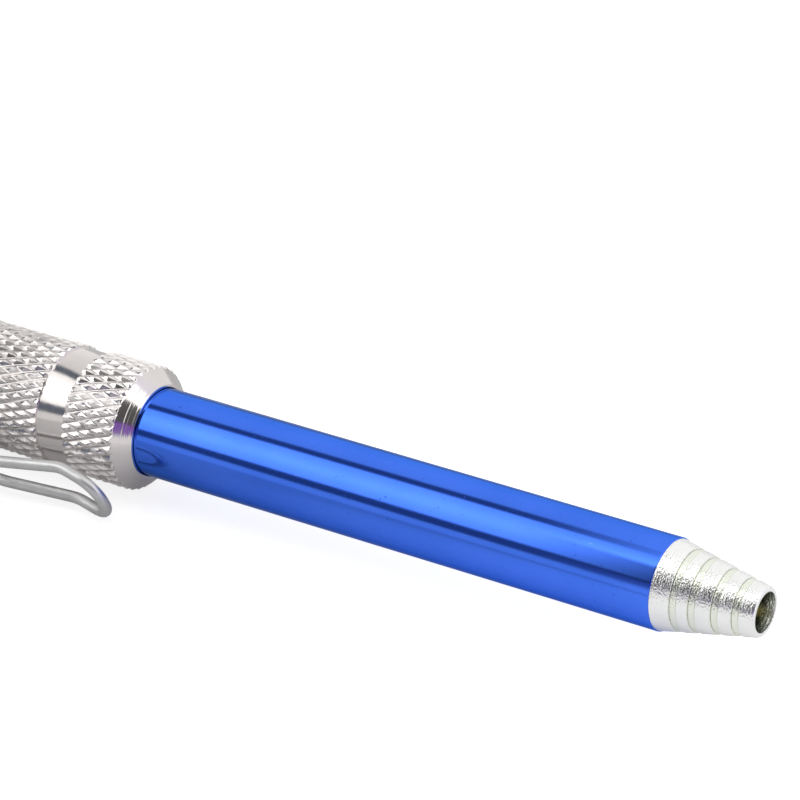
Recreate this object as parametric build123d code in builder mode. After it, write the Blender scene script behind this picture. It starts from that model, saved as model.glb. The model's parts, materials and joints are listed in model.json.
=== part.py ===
from build123d import *
import math
import os

# A slim metal 3-D pen. Millimetres.
# Origin: centre of the nose's mouth, on the pen's axis. +X points out of the nose, +Z is up.
# The pen lies on its barrel and on its clip, which hangs from the -Y side, below the axis.
# Stations are distances behind the barrel's mouth, so that station 0 is the barrel's front face.

# ---- Driving dimensions ----

# Nose
nose_length = 10.8
nose_tip_radius = 2.68
nose_base_step = 0.1
nose_wall = 1.1
nose_rim_round = 0.4
mouth_radius = 2.1
mouth_land = 2.4
spigot_length = 5.5
groove_centres = (-1.95, -4.08, -6.44, -8.37)
groove_width = 0.8
groove_depth = 0.22

# Blue tube and its slide
tube_radius = 5.0
tube_wall = 0.6
tube_exposed = 64.5
sleeve_travel = 5.0
stop_ring_length = 1.5
stop_ring_width = 1.05
slide_clearance = 0.05
spring_wire_radius = 0.35
spring_turns = 5.0
spring_spare = 3.95

# Barrel
barrel_wall = 1.0
lip_length = 3.0
lip_gap = 0.35
bevel_length = 1.9
bevel_rim = 0.12
band_front = 8.35
band_length = 3.7
band_depth = 0.42
band_slope = 0.3
bulkhead_length = 2.5

# Pocket clip, its angle below the horizontal and its band
clip_angle = 22.6
clip_wire_radius = 0.65
clip_foot_standoff = 2.5
clip_leg_standoff = 3.4
clip_dip_standoff = 2.2
clip_leg_half_width = 1.9
clip_loop_half_width = 2.9
clip_dip_station = 6.6
clip_dip_length = 9.0
clip_lip_length = 5.5
clip_lip_angle = 12.0
clip_foot_inset = 0.35
clip_band_gap = 5.0
clip_band_length = 6.0
clip_band_thickness = 0.7
clip_band_groove = 0.3
lug_half_width = 1.15
hinge_clearance = 0.05

# Hot end
nozzle_setback = 2.5
nozzle_length = 13.0
nozzle_radius = 1.6
nozzle_tip_length = 3.0
nozzle_tip_radius = 0.45
orifice_radius = 0.25
orifice_length = 1.5
melt_radius = 0.95
filament_bore_radius = 1.0
heater_front = 10.0
heater_length = 6.5
heater_wall = 0.7
heater_sleeve_wall = 0.3
heat_break_length = 10.5
heat_break_seat = 4.0
carrier_radius = 2.5
carrier_wall = 0.4
liner_radius = 2.0
liner_straight = 1.2
liner_bend = 20.0
thermistor_radius = 0.5
thermistor_length = 1.6
guide_ring_setback = 30.0
guide_ring_length = 3.0
heater_wire_radius = 0.35

# Circuit board, switches and buttons
bay_front_gap = 1.0
board_length = 24.5
board_side_gap = 0.26
board_thickness = 0.8
board_height = 2.6
board_rear_gap = 1.0
switch_size = 3.0
switch_body_height = 1.0
plunger_radius = 0.7
plunger_height = 0.2
chip_size = 4.0
chip_height = 0.9
chip_offset = 3.5
feed_button_offset = 11.0
reverse_button_offset = 18.0
led_offset = 22.5
led_radius = 0.9
led_proud = 0.15
bezel_offset = 6.5
bezel_length = 18.0
bezel_width = 5.4
bezel_proud = 0.12
button_length = 4.4
button_width = 3.0
button_proud = 0.5
button_travel = 0.3
button_clearance = 0.15
button_flange = 0.4
button_flange_thickness = 0.5
button_stem_radius = 0.8
button_over_travel = 0.05

# Filament drive
filament_radius = 0.875
feeder_length = 11.0
feeder_web = 2.0
screw_pitch = 1.0
screw_thread_radius = 0.3
screw_bite = 0.05
screw_end_gap = 0.3
pocket_clearance = 0.3
shaft_radius = 0.75
shaft_clearance = 0.03
shaft_into_gearbox = 1.0
bush_radius = 1.3
idler_cover = 0.445
idler_radius = 1.3
idler_half_width = 0.9
idler_pocket_half_width = 1.2
idler_clearance = 0.03
axle_radius = 0.5
axle_half_length = 2.2
axle_running_clearance = 0.02
passage_radius = 1.1
gear_motor_radius = 3.0
gearbox_length = 10.0
motor_length = 12.0
motor_boss_length = 0.6
motor_edge = 0.3
gearbox_gap = 1.0
guide_tube_radius = 1.3
guide_tube_gap = 0.025
lead_wire_radius = 0.3
lead_wall_gap = 0.15
motor_lead_angle = 7.5
power_lead_angle = -15.0
lead_rise_side = 3.4
lead_inward_run = 2.5
lead_bends = (0.5, 1.0, 0.8)
lead_end_inset = 1.0
motor_lead_rise = 3.0
power_lead_rise = 8.5

# Chassis
chassis_clearance = 0.15
chassis_wall = 0.85
chassis_rear_gap = 0.3
rib_length = 2.0
screw_shank_radius = 0.5
screw_head_radius = 0.85
screw_head_height = 0.7
screw_side = 2.9
screw_head_cover = 0.4
screw_depth = 3.0

# Tail
tail_room = 4.2
plug_length = 4.8
plug_flange_length = 1.5
plug_flange_step = 0.5
plug_tail_length = 3.0
plug_tail_step = 0.5
tail_thread_length = 4.5
tail_thread_wall = 0.5
thread_clearance = 0.02
tail_round = 1.2
jack_radius = 2.3
jack_bore_radius = 1.3
jack_length = 9.5
jack_bore_length = 8.0
jack_proud = 0.2
jack_edge = 0.25
tail_socket_gap = 0.7
inlet_bush_radius = 1.75
inlet_bore_radius = 1.25
inlet_bush_length = 6.0
inlet_funnel_radius = 1.5
inlet_funnel_length = 0.6
inlet_proud = 0.3

# ---- Places and sizes worked out from them ----

# Across the pen, from the tube outwards
nose_base_radius = tube_radius - nose_base_step
tube_bore = tube_radius - tube_wall
bore_radius = tube_radius + stop_ring_width + slide_clearance
barrel_radius = bore_radius + barrel_wall
chassis_radius = bore_radius - chassis_clearance
trough_radius = chassis_radius - chassis_wall
flange_radius = bore_radius + plug_flange_step
plug_tail_radius = bore_radius - plug_tail_step
clip_foot_reach = barrel_radius + clip_foot_standoff
clip_leg_reach = barrel_radius + clip_leg_standoff
clip_dip_reach = barrel_radius + clip_dip_standoff
heater_radius = nozzle_radius + heater_wall
heater_sleeve_radius = heater_radius + heater_sleeve_wall

# The idler wheel lies at the bottom of the bore and carries the filament, and the feed screw
# bites it from above. Behind them the filament's guide passes just under the motor.
screw_radius = gear_motor_radius + guide_tube_gap + guide_tube_radius - filament_radius + screw_bite
idler_height = idler_cover + idler_radius - bore_radius
filament_height = idler_height + idler_radius + idler_clearance + filament_radius
shaft_height = filament_height + filament_radius - screw_bite + screw_radius
jack_height = filament_height + inlet_bush_radius + tail_socket_gap + jack_radius

# Stations of the sliding nose's stop and spring, then of the board, the drive and the tail
stop_front = lip_length + slide_clearance
stop_rear = stop_front + stop_ring_length
spring_solid_length = spring_turns * 2 * spring_wire_radius
bulkhead_front = stop_rear + sleeve_travel + spring_solid_length + spring_spare
bulkhead_rear = bulkhead_front + bulkhead_length
board_front = bulkhead_rear + bay_front_gap
feeder_front = board_front + board_length + board_rear_gap
feeder_rear = feeder_front + feeder_length
gearbox_front = feeder_rear + gearbox_gap
motor_front = gearbox_front + gearbox_length
motor_rear = motor_front + motor_length
plug_front = motor_rear + tail_room
barrel_length = plug_front + plug_length
flange_rear = barrel_length + plug_flange_length
tail_end = flange_rear + plug_tail_length
chassis_rear = plug_front - chassis_rear_gap

# Board, keys and clip
board_top = board_height + board_thickness
board_half_width = math.sqrt(bore_radius**2 - board_top**2) - board_side_gap
bezel_front = board_front + bezel_offset
feed_button_station = board_front + feed_button_offset
reverse_button_station = board_front + reverse_button_offset
led_station = board_front + led_offset
chip_station = board_front + chip_offset
clip_band_front = bezel_front + bezel_length + clip_band_gap
hinge_station = clip_band_front + clip_band_length / 2
screw_head_top = math.sqrt(chassis_radius**2 - (screw_side + screw_head_radius) ** 2) - screw_head_cover

# Hot end, measured back from the nose's mouth
nozzle_rear = -nozzle_setback - nozzle_length
heat_break_rear = nozzle_rear - heat_break_length
carrier_front = heat_break_rear + heat_break_seat
heater_rear = -nozzle_setback - heater_front - heater_length

# Wires beside the chassis wall
motor_lead_rise_station = feeder_front - motor_lead_rise
power_lead_rise_station = feeder_front - power_lead_rise
lead_circle = trough_radius - lead_wall_gap - lead_wire_radius
motor_lead_y = lead_circle * math.cos(math.radians(motor_lead_angle))
motor_lead_z = lead_circle * math.sin(math.radians(motor_lead_angle))
power_lead_y = lead_circle * math.cos(math.radians(power_lead_angle))
power_lead_z = lead_circle * math.sin(math.radians(power_lead_angle))

# Direction sideways across the clip
clip_cos = math.cos(math.radians(clip_angle))
clip_sin = math.sin(math.radians(clip_angle))
across_clip = (0, clip_sin, -clip_cos)

os.makedirs("parts", exist_ok=True)


def at(station):
    """X of a station behind the barrel's mouth."""
    return -(nose_length + tube_exposed) - station


def clip_point(x, reach, across):
    """A point in the clip's own frame: reach is outwards from the axis, across is sideways."""
    return (x, -reach * clip_cos + across * clip_sin, -reach * clip_sin - across * clip_cos)


def nose_outline(x):
    """Outside radius of the nose's plain taper at x."""
    return nose_tip_radius + (nose_base_radius - nose_tip_radius) * -x / nose_length


def rod(rear, front, radius, y=0.0, z=0.0, mode=Mode.ADD):
    """Round bar along X, joined to or cut from the piece being built."""
    with BuildSketch(Plane.YZ.offset(rear)) as section:
        with Locations((y, z)):
            Circle(radius)
    extrude(section.sketch, amount=front - rear, mode=mode)


def pipe(rear, front, outer, inner, y=0.0, z=0.0):
    """Round tube along X."""
    with BuildSketch(Plane.YZ.offset(rear)) as section:
        with Locations((y, z)):
            Circle(outer)
            Circle(inner, mode=Mode.SUBTRACT)
    extrude(section.sketch, amount=front - rear)


def turned(*outline, z=0.0, mode=Mode.ADD):
    """Turned shape: (x, radius) points spun about a line along X at height z."""
    with BuildSketch(Plane.XZ) as profile:
        with BuildLine():
            Polyline(*[(x, z + radius) for x, radius in outline], close=True)
        make_face()
    revolve(profile.sketch, axis=Axis((0, 0, z), (1, 0, 0)), mode=mode)


def block(rear, front, y_low, y_high, z_low, z_high, mode=Mode.ADD):
    """Rectangular block between six planes."""
    with BuildSketch(Plane.YZ.offset(rear)) as section:
        with Locations(((y_low + y_high) / 2, (z_low + z_high) / 2)):
            Rectangle(y_high - y_low, z_high - z_low)
    extrude(section.sketch, amount=front - rear, mode=mode)


def bent_tube(route, radius, bends, inner=0.0):
    """Round wire or tube along straight runs joined by tangent arcs."""
    with BuildLine() as path:
        FilletPolyline(*route, radius=bends)
    with BuildSketch(Plane(origin=path.line @ 0, z_dir=path.line % 0)) as section:
        Circle(radius)
        if inner:
            Circle(inner, mode=Mode.SUBTRACT)
    sweep(section.sketch, path=path.line)


def save(piece, name):
    """Label a finished piece and write it under its own name."""
    piece.part.label = name
    export_step(piece.part, f"parts/{name}.step")


web_middles = (at(feeder_front + feeder_web / 2), at(feeder_rear - feeder_web / 2))
screw_places = [(x, side * screw_side) for x in web_middles for side in (-1, 1)]

# ---- Sliding nose and tube ----

with BuildPart() as nose_cone:
    turned(
        (0, mouth_radius),
        (0, nose_tip_radius),
        (-nose_length, nose_base_radius),
        (-nose_length, tube_bore),
        (-nose_length - spigot_length, tube_bore),
        (-nose_length - spigot_length, nose_base_radius - nose_wall),
        (-nose_length, nose_base_radius - nose_wall),
        (-mouth_land, mouth_radius),
    )
    fillet(nose_cone.edges().group_by(Axis.X)[-1].sort_by(SortBy.RADIUS)[-1], nose_rim_round)
    for centre in groove_centres:
        turned(
            (centre - groove_width / 2, nose_outline(centre) - groove_depth),
            (centre + groove_width / 2, nose_outline(centre) - groove_depth),
            (centre + groove_width / 2, nose_base_radius + 1),
            (centre - groove_width / 2, nose_base_radius + 1),
            mode=Mode.SUBTRACT,
        )
save(nose_cone, "nose_cone")

with BuildPart() as outer_tube:
    pipe(at(stop_rear), -nose_length, tube_radius, tube_bore)
save(outer_tube, "outer_tube")

with BuildPart() as stop_ring:
    pipe(at(stop_rear), at(stop_front), bore_radius - slide_clearance, tube_radius)
save(stop_ring, "stop_ring")

with BuildPart() as sleeve_spring:
    coil_rear = at(bulkhead_front) + spring_wire_radius
    coil_front = at(stop_rear) - spring_wire_radius - slide_clearance
    with BuildLine() as coil_line:
        Helix(
            pitch=(coil_front - coil_rear) / spring_turns,
            height=coil_front - coil_rear,
            radius=tube_radius,
            center=(coil_rear, 0, 0),
            direction=(1, 0, 0),
        )
    with BuildSketch(Plane(origin=coil_line.line @ 0, z_dir=coil_line.line % 0)):
        Circle(spring_wire_radius)
    sweep(path=coil_line.line, is_frenet=True)
save(sleeve_spring, "sleeve_spring")

# ---- Barrel, bulkhead and tail ----

with BuildPart() as barrel:
    rim_radius = tube_radius + lip_gap
    band_rear = band_front + band_length
    turned(
        (at(0), rim_radius),
        (at(0), rim_radius + bevel_rim),
        (at(bevel_length), barrel_radius),
        (at(band_front), barrel_radius),
        (at(band_front + band_slope), barrel_radius - band_depth),
        (at(band_rear - band_slope), barrel_radius - band_depth),
        (at(band_rear), barrel_radius),
        (at(barrel_length - tail_thread_length), barrel_radius),
        (at(barrel_length - tail_thread_length), bore_radius + tail_thread_wall),
        (at(barrel_length), bore_radius + tail_thread_wall),
        (at(barrel_length), bore_radius),
        (at(lip_length), bore_radius),
        (at(lip_length), rim_radius),
    )
    band_ring_rear = at(clip_band_front + clip_band_length)
    turned(
        (band_ring_rear, barrel_radius - clip_band_groove),
        (at(clip_band_front), barrel_radius - clip_band_groove),
        (at(clip_band_front), barrel_radius + 1),
        (band_ring_rear, barrel_radius + 1),
        mode=Mode.SUBTRACT,
    )
    with BuildSketch(Plane.XY):
        with Locations((at(bezel_front + bezel_length / 2), 0)):
            SlotOverall(bezel_length, bezel_width)
    extrude(amount=barrel_radius + 1, mode=Mode.SUBTRACT)
save(barrel, "barrel")

with BuildPart() as front_bulkhead:
    pipe(at(bulkhead_rear), at(bulkhead_front), bore_radius, carrier_radius)
    lead_side = heater_sleeve_radius + heater_wire_radius
    for side in (-1, 1):
        rod(
            at(bulkhead_rear),
            at(bulkhead_front),
            heater_wire_radius,
            side * lead_side,
            mode=Mode.SUBTRACT,
        )
save(front_bulkhead, "front_bulkhead")

with BuildPart() as tail_plug:
    rod(at(flange_rear), at(barrel_length), flange_radius)
    rod(at(barrel_length), at(plug_front), bore_radius)
    rod(at(tail_end), at(flange_rear), plug_tail_radius)
    rod(at(tail_end), at(plug_front), jack_radius, z=jack_height, mode=Mode.SUBTRACT)
    rod(at(tail_end), at(plug_front), inlet_bush_radius, z=filament_height, mode=Mode.SUBTRACT)
save(tail_plug, "tail_plug")

with BuildPart() as tail_ring:
    ring_bore = bore_radius + tail_thread_wall + thread_clearance
    turned(
        (at(barrel_length - tail_thread_length), ring_bore),
        (at(barrel_length - tail_thread_length), barrel_radius),
        (at(tail_end), barrel_radius),
        (at(tail_end), plug_tail_radius + thread_clearance),
        (at(flange_rear), plug_tail_radius + thread_clearance),
        (at(flange_rear), ring_bore),
    )
    fillet(tail_ring.edges().group_by(Axis.X)[0].sort_by(SortBy.RADIUS)[-1], tail_round)
save(tail_ring, "tail_ring")

# ---- Pocket clip ----

with BuildPart() as clip_band:
    with BuildSketch(Plane(origin=(0, 0, 0), x_dir=(1, 0, 0), z_dir=across_clip)):
        with Locations((at(hinge_station), clip_foot_reach)):
            Circle(clip_wire_radius * 2)
        with Locations((at(hinge_station), (barrel_radius + clip_foot_reach) / 2)):
            Rectangle(clip_wire_radius * 4, clip_foot_reach - barrel_radius)
    extrude(amount=lug_half_width, both=True)
    pipe(
        at(clip_band_front + clip_band_length),
        at(clip_band_front),
        barrel_radius - clip_band_groove + clip_band_thickness,
        barrel_radius - clip_band_groove,
    )
    hinge_start = clip_point(at(hinge_station), clip_foot_reach, -lug_half_width)
    with BuildSketch(Plane(origin=hinge_start, z_dir=across_clip)):
        Circle(clip_wire_radius + hinge_clearance)
    extrude(amount=2 * lug_half_width, mode=Mode.SUBTRACT)
save(clip_band, "clip_band")

with BuildPart() as pocket_clip:
    hinge_x = at(hinge_station)
    dip_x = at(clip_dip_station)
    lip_turn = math.radians(clip_lip_angle)
    lip_x = dip_x + clip_lip_length * math.cos(lip_turn)
    lip_reach = clip_dip_reach + clip_lip_length * math.sin(lip_turn)
    half_route = [
        clip_point(hinge_x, clip_foot_reach, clip_foot_inset),
        clip_point(hinge_x, clip_foot_reach, clip_leg_half_width),
        clip_point(dip_x - clip_dip_length, clip_leg_reach, clip_leg_half_width),
        clip_point(dip_x, clip_dip_reach, clip_loop_half_width),
        clip_point(lip_x, lip_reach, clip_loop_half_width),
    ]
    other_half = [
        clip_point(lip_x, lip_reach, -clip_loop_half_width),
        clip_point(dip_x, clip_dip_reach, -clip_loop_half_width),
        clip_point(dip_x - clip_dip_length, clip_leg_reach, -clip_leg_half_width),
        clip_point(hinge_x, clip_foot_reach, -clip_leg_half_width),
        clip_point(hinge_x, clip_foot_reach, -clip_foot_inset),
    ]
    half_bends = [clip_wire_radius * 1.3, 8.0, 5.0, clip_loop_half_width * 0.93]
    bent_tube(half_route + other_half, clip_wire_radius, half_bends + half_bends[::-1])
save(pocket_clip, "pocket_clip")

# ---- Hot end, carried on a thin tube from the bulkhead ----

with BuildPart() as nozzle:
    nozzle_tip = -nozzle_setback
    turned(
        (nozzle_tip, orifice_radius),
        (nozzle_tip, nozzle_tip_radius),
        (nozzle_tip - nozzle_tip_length, nozzle_radius),
        (nozzle_rear, nozzle_radius),
        (nozzle_rear, melt_radius),
        (nozzle_tip - orifice_length - melt_radius, melt_radius),
        (nozzle_tip - orifice_length, orifice_radius),
    )
save(nozzle, "nozzle")

with BuildPart() as heat_break:
    turned(
        (nozzle_rear, melt_radius),
        (nozzle_rear, nozzle_radius),
        (carrier_front, nozzle_radius),
        (carrier_front, carrier_radius - carrier_wall),
        (heat_break_rear, carrier_radius - carrier_wall),
        (heat_break_rear, melt_radius),
    )
save(heat_break, "heat_break")

with BuildPart() as ceramic_heater:
    pipe(heater_rear, heater_rear + heater_length, heater_radius, nozzle_radius)
save(ceramic_heater, "ceramic_heater")

with BuildPart() as heater_sleeve:
    pipe(heater_rear, heater_rear + heater_length, heater_sleeve_radius, heater_radius)
save(heater_sleeve, "heater_sleeve")

with BuildPart() as thermistor:
    bead_front = heater_rear - thermistor_radius
    rod(
        bead_front - thermistor_length,
        bead_front,
        thermistor_radius,
        z=nozzle_radius + thermistor_radius,
    )
    fillet(thermistor.edges().filter_by(GeomType.CIRCLE), thermistor_radius * 0.6)
save(thermistor, "thermistor")

with BuildPart() as carrier_tube:
    pipe(at(bulkhead_rear), carrier_front, carrier_radius, carrier_radius - carrier_wall)
save(carrier_tube, "carrier_tube")

with BuildPart() as guide_ring:
    ring_front = -guide_ring_setback
    pipe(ring_front - guide_ring_length, ring_front, tube_bore - slide_clearance, carrier_radius)
    for side in (-1, 1):
        rod(
            ring_front - guide_ring_length,
            ring_front,
            heater_wire_radius,
            side * lead_side,
            mode=Mode.SUBTRACT,
        )
save(guide_ring, "guide_ring")

with BuildPart() as ptfe_liner:
    liner_route = [
        (heat_break_rear, 0, 0),
        (at(bulkhead_rear + liner_straight), 0, 0),
        (at(feeder_front - liner_straight), 0, filament_height),
        (at(feeder_front + feeder_web - pocket_clearance), 0, filament_height),
    ]
    bent_tube(liner_route, liner_radius, (liner_bend, liner_bend), inner=filament_bore_radius)
save(ptfe_liner, "ptfe_liner")

with BuildPart() as heater_leads:
    for side in (-1, 1):
        lead_route = [
            (heater_rear + 1, side * lead_side, 0),
            (at(board_front + 1), side * lead_side, 0),
            (at(board_front + 1), side * lead_side, board_height),
        ]
        bent_tube(lead_route, heater_wire_radius, (1.0,))
save(heater_leads, "heater_leads")

# ---- Chassis ----


def filament_channels():
    """Cuts the filament's passage and the seats of its liner and guide tube into the piece being built."""
    cut = Mode.SUBTRACT
    rod(at(feeder_rear), at(feeder_front), passage_radius, z=filament_height, mode=cut)
    rod(at(feeder_front + feeder_web), at(feeder_front), liner_radius, z=filament_height, mode=cut)
    rod(at(motor_rear), at(feeder_rear - feeder_web), guide_tube_radius, z=filament_height, mode=cut)


with BuildPart() as chassis_lower:
    rod(at(chassis_rear), at(bulkhead_rear), chassis_radius)
    rod(at(feeder_front), at(bulkhead_rear), trough_radius, mode=Mode.SUBTRACT)
    rod(at(chassis_rear), at(feeder_rear), trough_radius, mode=Mode.SUBTRACT)
    block(
        at(feeder_front),
        at(bulkhead_rear),
        -chassis_radius,
        chassis_radius,
        board_height,
        chassis_radius,
        mode=Mode.SUBTRACT,
    )
    block(
        at(chassis_rear),
        at(feeder_front),
        -chassis_radius,
        chassis_radius,
        0,
        chassis_radius,
        mode=Mode.SUBTRACT,
    )
    # Rib that carries the gearbox above the filament guide
    with BuildSketch(Plane.YZ.offset(at(gearbox_front + rib_length))) as rib:
        Circle(trough_radius)
        with Locations((0, trough_radius)):
            Rectangle(2 * trough_radius, 2 * trough_radius, mode=Mode.SUBTRACT)
    extrude(rib.sketch, amount=rib_length)
    pocket_front = at(feeder_front + feeder_web)
    pocket_rear = at(feeder_rear - feeder_web)
    rod(pocket_rear, pocket_front, screw_radius + pocket_clearance, z=shaft_height, mode=Mode.SUBTRACT)
    rod(
        at(motor_rear),
        at(gearbox_front),
        gear_motor_radius,
        z=shaft_height,
        mode=Mode.SUBTRACT,
    )
    filament_channels()
    # Slot for the idler wheel, open below, and the seat of its axle
    idler_x = (pocket_front + pocket_rear) / 2
    block(
        idler_x - idler_radius - pocket_clearance,
        idler_x + idler_radius + pocket_clearance,
        -idler_pocket_half_width,
        idler_pocket_half_width,
        -bore_radius,
        shaft_height,
        mode=Mode.SUBTRACT,
    )
    with BuildSketch(Plane.XZ):
        with Locations((idler_x, idler_height)):
            Circle(axle_radius)
    extrude(amount=axle_half_length, both=True, mode=Mode.SUBTRACT)
    for side in (-1, 1):
        rod(
            at(feeder_rear),
            at(feeder_front),
            lead_wire_radius,
            side * power_lead_y,
            power_lead_z,
            mode=Mode.SUBTRACT,
        )
    with BuildSketch(Plane.XY.offset(-screw_depth)):
        with Locations(*screw_places):
            Circle(screw_shank_radius)
    extrude(amount=screw_depth, mode=Mode.SUBTRACT)
save(chassis_lower, "chassis_lower")

with BuildPart() as chassis_upper:
    rod(at(chassis_rear), at(feeder_front), chassis_radius)
    rod(at(chassis_rear), at(feeder_rear), trough_radius, mode=Mode.SUBTRACT)
    block(
        at(chassis_rear),
        at(feeder_front),
        -chassis_radius,
        chassis_radius,
        -chassis_radius,
        0,
        mode=Mode.SUBTRACT,
    )
    rod(pocket_rear, pocket_front, screw_radius + pocket_clearance, z=shaft_height, mode=Mode.SUBTRACT)
    rod(at(feeder_rear), at(feeder_front), bush_radius, z=shaft_height, mode=Mode.SUBTRACT)
    rod(at(motor_rear), at(gearbox_front), gear_motor_radius, z=shaft_height, mode=Mode.SUBTRACT)
    filament_channels()
    for side in (-1, 1):
        rod(
            at(feeder_rear),
            at(feeder_front),
            lead_wire_radius,
            side * motor_lead_y,
            motor_lead_z,
            mode=Mode.SUBTRACT,
        )
    with BuildSketch(Plane.XY):
        with Locations(*screw_places):
            Circle(screw_shank_radius)
    extrude(amount=chassis_radius, mode=Mode.SUBTRACT)
    with BuildSketch(Plane.XY.offset(screw_head_top - screw_head_height)):
        with Locations(*screw_places):
            Circle(screw_head_radius)
    extrude(amount=chassis_radius, mode=Mode.SUBTRACT)
save(chassis_upper, "chassis_upper")

with BuildPart() as chassis_screws:
    with BuildSketch(Plane.XY.offset(-screw_depth)):
        with Locations(*screw_places):
            Circle(screw_shank_radius)
    extrude(amount=screw_depth + screw_head_top - screw_head_height)
    with BuildSketch(Plane.XY.offset(screw_head_top - screw_head_height)):
        with Locations(*screw_places):
            Circle(screw_head_radius)
            Rectangle(screw_head_radius * 1.4, screw_head_radius * 0.25, mode=Mode.SUBTRACT)
    extrude(amount=screw_head_height)
save(chassis_screws, "chassis_screws")

# ---- Circuit board, switches and buttons ----

with BuildPart() as circuit_board:
    block(
        at(board_front + board_length),
        at(board_front),
        -board_half_width,
        board_half_width,
        board_height,
        board_top,
    )
save(circuit_board, "circuit_board")

with BuildPart() as controller_chip:
    with BuildSketch(Plane.XY.offset(board_top)):
        with Locations((at(chip_station), 0)):
            Rectangle(chip_size, chip_size)
    extrude(amount=chip_height)
    chamfer(controller_chip.edges().group_by(Axis.Z)[-1], chip_height / 4)
save(controller_chip, "controller_chip")

switch_top = board_top + switch_body_height + plunger_height
button_bottom = switch_top + button_travel + button_over_travel
flange_top = math.sqrt(bore_radius**2 - (button_width / 2 + button_flange) ** 2) - button_over_travel
button_top = barrel_radius + button_proud

for control, station in (("feed", feed_button_station), ("reverse", reverse_button_station)):
    with BuildPart() as switch:
        with BuildSketch(Plane.XY.offset(board_top)):
            with Locations((at(station), 0)):
                Rectangle(switch_size, switch_size)
        extrude(amount=switch_body_height)
        with BuildSketch(Plane.XY.offset(board_top + switch_body_height)):
            with Locations((at(station), 0)):
                Circle(plunger_radius)
        extrude(amount=plunger_height)
    save(switch, f"{control}_switch")

    with BuildPart() as button:
        with BuildSketch(Plane.XY.offset(flange_top)):
            with Locations((at(station), 0)):
                SlotOverall(button_length, button_width)
        extrude(amount=button_top - flange_top)
        fillet(button.edges().group_by(Axis.Z)[-1], button_proud * 0.7)
        with BuildSketch(Plane.XY.offset(flange_top - button_flange_thickness)):
            with Locations((at(station), 0)):
                SlotOverall(button_length + 2 * button_flange, button_width + 2 * button_flange)
        extrude(amount=button_flange_thickness)
        with BuildSketch(Plane.XY.offset(button_bottom)):
            with Locations((at(station), 0)):
                Circle(button_stem_radius)
        extrude(until=Until.NEXT)
    save(button, f"{control}_button")

with BuildPart() as status_led:
    with BuildSketch(Plane.XY.offset(board_top)):
        with Locations((at(led_station), 0)):
            Circle(led_radius)
    extrude(amount=barrel_radius + bezel_proud + led_proud + led_radius / 2 - board_top)
    fillet(status_led.edges().group_by(Axis.Z)[-1], led_radius * 0.8)
save(status_led, "status_led")

with BuildPart() as button_bezel:
    with BuildSketch(Plane.XY):
        with Locations((at(bezel_front + bezel_length / 2), 0)):
            SlotOverall(bezel_length, bezel_width)
        for station in (feed_button_station, reverse_button_station):
            with Locations((at(station), 0)):
                SlotOverall(
                    button_length + 2 * button_clearance,
                    button_width + 2 * button_clearance,
                    mode=Mode.SUBTRACT,
                )
        with Locations((at(led_station), 0)):
            Circle(led_radius, mode=Mode.SUBTRACT)
    extrude(amount=barrel_radius + 1)
    bezel_rear = at(bezel_front + bezel_length)
    rod(bezel_rear - 1, at(bezel_front) + 1, barrel_radius + bezel_proud, mode=Mode.INTERSECT)
    rod(bezel_rear - 1, at(bezel_front) + 1, bore_radius, mode=Mode.SUBTRACT)
save(button_bezel, "button_bezel")

# ---- Filament drive ----

thread_front = pocket_front - screw_end_gap
thread_rear = pocket_rear + screw_end_gap
core_radius = screw_radius - screw_thread_radius

with BuildPart() as feed_screw:
    rod(thread_rear, thread_front, core_radius, z=shaft_height)
    with BuildLine() as thread_line:
        Helix(
            pitch=screw_pitch,
            height=thread_front - thread_rear - 4 * screw_thread_radius,
            radius=core_radius,
            center=(thread_rear + 2 * screw_thread_radius, 0, shaft_height),
            direction=(1, 0, 0),
        )
    with BuildSketch(Plane(origin=thread_line.line @ 0, z_dir=thread_line.line % 0)):
        Circle(screw_thread_radius)
    sweep(path=thread_line.line, is_frenet=True)
    rod(thread_rear, thread_front, shaft_radius, z=shaft_height, mode=Mode.SUBTRACT)
save(feed_screw, "feed_screw")

with BuildPart() as drive_shaft:
    rod(at(gearbox_front + shaft_into_gearbox), at(feeder_front), shaft_radius, z=shaft_height)
    chamfer(drive_shaft.edges().filter_by(GeomType.CIRCLE), shaft_radius / 5)
save(drive_shaft, "drive_shaft")

for bush_name, bush_rear in (("shaft_bush_front", pocket_front), ("shaft_bush_rear", at(feeder_rear))):
    with BuildPart() as bush:
        bush_bore = shaft_radius + shaft_clearance
        pipe(bush_rear, bush_rear + feeder_web, bush_radius, bush_bore, z=shaft_height)
    save(bush, bush_name)

with BuildPart() as idler_wheel:
    with BuildSketch(Plane.XZ):
        with Locations((idler_x, idler_height)):
            Circle(idler_radius)
            Circle(axle_radius + axle_running_clearance, mode=Mode.SUBTRACT)
    extrude(amount=idler_half_width, both=True)
save(idler_wheel, "idler_wheel")

with BuildPart() as idler_axle:
    with BuildSketch(Plane.XZ):
        with Locations((idler_x, idler_height)):
            Circle(axle_radius)
    extrude(amount=axle_half_length, both=True)
save(idler_axle, "idler_axle")

with BuildPart() as gearbox:
    rod(at(motor_front), at(gearbox_front), gear_motor_radius, z=shaft_height)
    chamfer(gearbox.edges().group_by(Axis.X)[-1], motor_edge)
    rod(
        at(gearbox_front + shaft_into_gearbox + shaft_clearance),
        at(gearbox_front),
        shaft_radius + shaft_clearance,
        z=shaft_height,
        mode=Mode.SUBTRACT,
    )
save(gearbox, "gearbox")

with BuildPart() as motor:
    rod(at(motor_rear), at(motor_front), gear_motor_radius, z=shaft_height)
    chamfer(motor.edges().group_by(Axis.X)[0], motor_edge)
    rod(at(motor_rear + motor_boss_length), at(motor_rear), bush_radius, z=shaft_height)
save(motor, "motor")

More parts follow.
